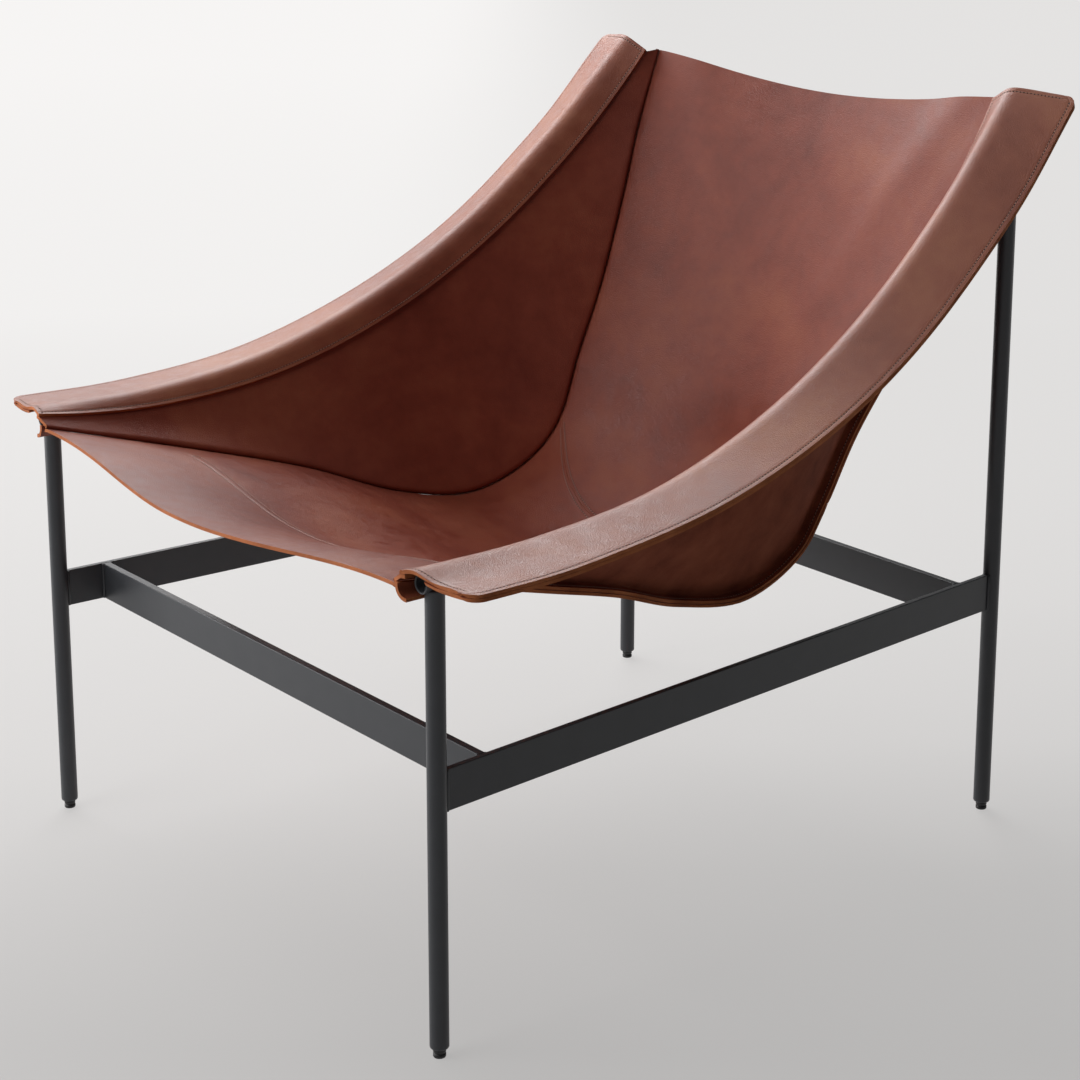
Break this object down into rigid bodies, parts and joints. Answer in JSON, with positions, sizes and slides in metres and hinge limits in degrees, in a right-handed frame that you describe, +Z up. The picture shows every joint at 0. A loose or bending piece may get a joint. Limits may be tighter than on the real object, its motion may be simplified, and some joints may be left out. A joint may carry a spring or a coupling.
{
  "type": "sling lounge chair",
  "caption": "Low lounge chair with a sewn leather sling seat hung from wide leather arm bands sleeved over bent tubes, on round steel legs with flat bar rails and levelling glides.",
  "frame": {"origin": "on the floor under the middle of the overall box", "axes": "+Z up, the sitter faces -Y, +X to the right as seen from in front"},
  "size_m": [0.828, 0.8788, 0.8046],
  "materials": {
    "steel": "satin charcoal powder coat",
    "nylon": "matt",
    "leather": "oiled red-brown saddle leather with raw edges"
  },
  "bodies": {
    "chair": {"arm_band_left": "leather", "arm_band_right": "leather", "arm_tube_left": "steel", "arm_tube_right": "steel", "back_panel": "leather", "band_lining_left": "leather", "band_lining_right": "leather", "front_cross_rail": "steel", "front_leg_left": "steel", "front_leg_right": "steel", "rear_cross_rail": "steel", "rear_leg_left": "steel", "rear_leg_right": "steel", "seam_strip": "leather", "seat_panel": "leather", "seat_strap": "leather", "side_panel_left": "leather", "side_panel_right": "leather", "side_rail_left": "steel", "side_rail_right": "steel"},
    "front_glide_left": {"front_glide_left": "nylon"},
    "front_glide_right": {"front_glide_right": "nylon"},
    "rear_glide_left": {"rear_glide_left": "nylon"},
    "rear_glide_right": {"rear_glide_right": "nylon"}
  },
  "joints": [
    {"name": "front_glide_left_slide", "type": "slide", "parent": "chair", "child": "front_glide_left", "axis": [0, 0, -1], "range_m": [0, 0.006]},
    {"name": "front_glide_right_slide", "type": "slide", "parent": "chair", "child": "front_glide_right", "axis": [0, 0, -1], "range_m": [0, 0.006]},
    {"name": "rear_glide_left_slide", "type": "slide", "parent": "chair", "child": "rear_glide_left", "axis": [0, 0, -1], "range_m": [0, 0.006]},
    {"name": "rear_glide_right_slide", "type": "slide", "parent": "chair", "child": "rear_glide_right", "axis": [0, 0, -1], "range_m": [0, 0.006]}
  ]
}
